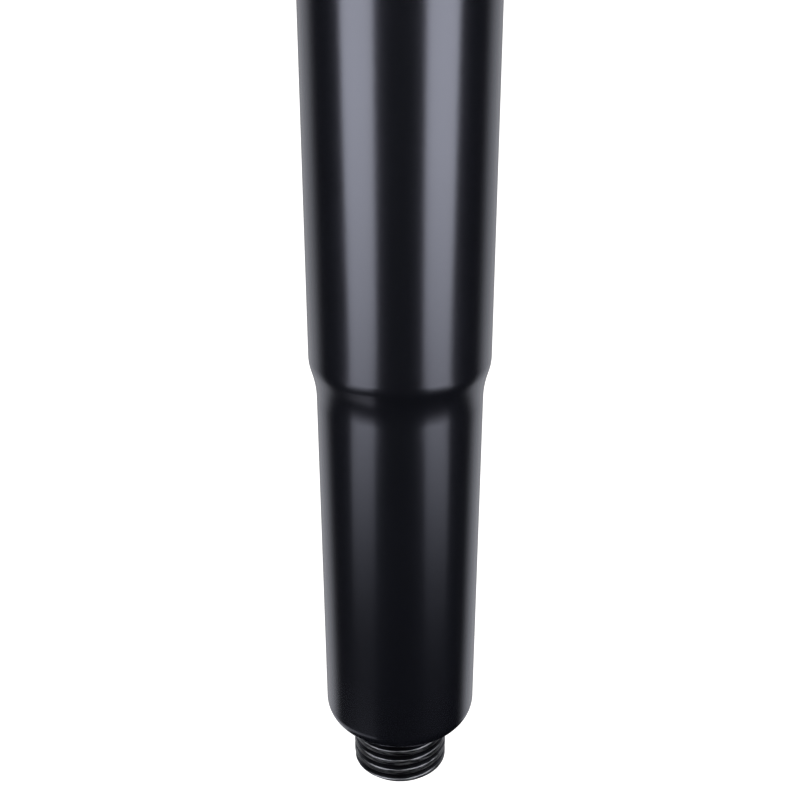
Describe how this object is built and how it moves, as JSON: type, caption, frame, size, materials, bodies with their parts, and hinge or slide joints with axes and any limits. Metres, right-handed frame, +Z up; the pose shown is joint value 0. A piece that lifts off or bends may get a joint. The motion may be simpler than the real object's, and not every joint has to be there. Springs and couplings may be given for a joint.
{
  "type": "speaker pole",
  "caption": "Height-adjustable steel speaker pole: a tube with a swaged, threaded foot and a mast that slides in it, held by a clamp knob and a locking plunger.",
  "frame": {"origin": "centre of the threaded stud's end face", "axes": "+Z up the pole towards its head, +X out along the clamp knob, -X out along the locking plunger"},
  "size_m": [0.1193, 0.048, 0.8564],
  "materials": {
    "powder_coat": "smooth blue-black powder coat, semi-gloss",
    "stud_steel": "black coated steel thread, worn to bare steel along its crests",
    "black_steel": "black oxide on steel",
    "zinc_steel": "bright zinc plated steel",
    "spring_steel": "drawn spring steel",
    "brass": "turned brass",
    "nylon": "moulded glass-filled nylon, fine matt grain",
    "acetal": "natural acetal, machined",
    "grip_plastic": "moulded thermoplastic with a fine grain"
  },
  "bodies": {
    "pole": {"lower_tube": "powder_coat", "threaded_stud": "stud_steel", "guide_liner": "acetal", "clamp_collar": "nylon", "collar_screw_back": "black_steel", "collar_screw_front": "black_steel", "clamp_insert": "brass", "plunger_sleeve": "zinc_steel", "plunger_spring": "spring_steel"},
    "glide": {"glide_ring": "acetal"},
    "mast": {"mast_tube": "powder_coat", "mast_end_plug": "nylon", "end_plug_pin": "zinc_steel", "head_sleeve": "powder_coat", "head_cap": "grip_plastic", "head_sleeve_pin": "zinc_steel"},
    "shoe": {"clamp_shoe": "acetal"},
    "knob": {"clamp_screw": "zinc_steel", "clamp_knob": "grip_plastic", "clamp_knob_cap": "zinc_steel"},
    "plunger": {"plunger_pin": "zinc_steel"},
    "grip": {"plunger_grip": "grip_plastic", "plunger_clip": "spring_steel", "plunger_grip_cap": "grip_plastic"}
  },
  "joints": [
    {"name": "mast_slide", "type": "slide", "parent": "pole", "child": "glide", "axis": [0, 0, 1], "range_m": [0, 0.5]},
    {"name": "mast_swivel", "type": "hinge", "parent": "glide", "child": "mast", "pos_m": [0, 0, 0.11803], "axis": [0, 0, 1], "range_deg": [-180, 180]},
    {"name": "shoe_slide", "type": "slide", "parent": "pole", "child": "shoe", "axis": [1, 0, 0], "range_m": [0, 0.002]},
    {"name": "knob_turn", "type": "hinge", "parent": "shoe", "child": "knob", "pos_m": [0.04, 0, 0.73503], "axis": [1, 0, 0], "range_deg": [0, 450]},
    {"name": "plunger_slide", "type": "slide", "parent": "pole", "child": "plunger", "axis": [1, 0, 0], "range_m": [0, 0.007], "deforming": ["plunger_spring"]},
    {"name": "plunger_turn", "type": "hinge", "parent": "plunger", "child": "grip", "pos_m": [-0.05, 0, 0.73503], "axis": [-1, 0, 0], "range_deg": [0, 90]}
  ],
  "couplings": [
    {"joint": "shoe_slide", "follows": "knob_turn", "m_per_rad": 0.00023873},
    {"joint": "plunger_slide", "follows": "plunger_turn", "m_per_rad": 0.004456}
  ]
}
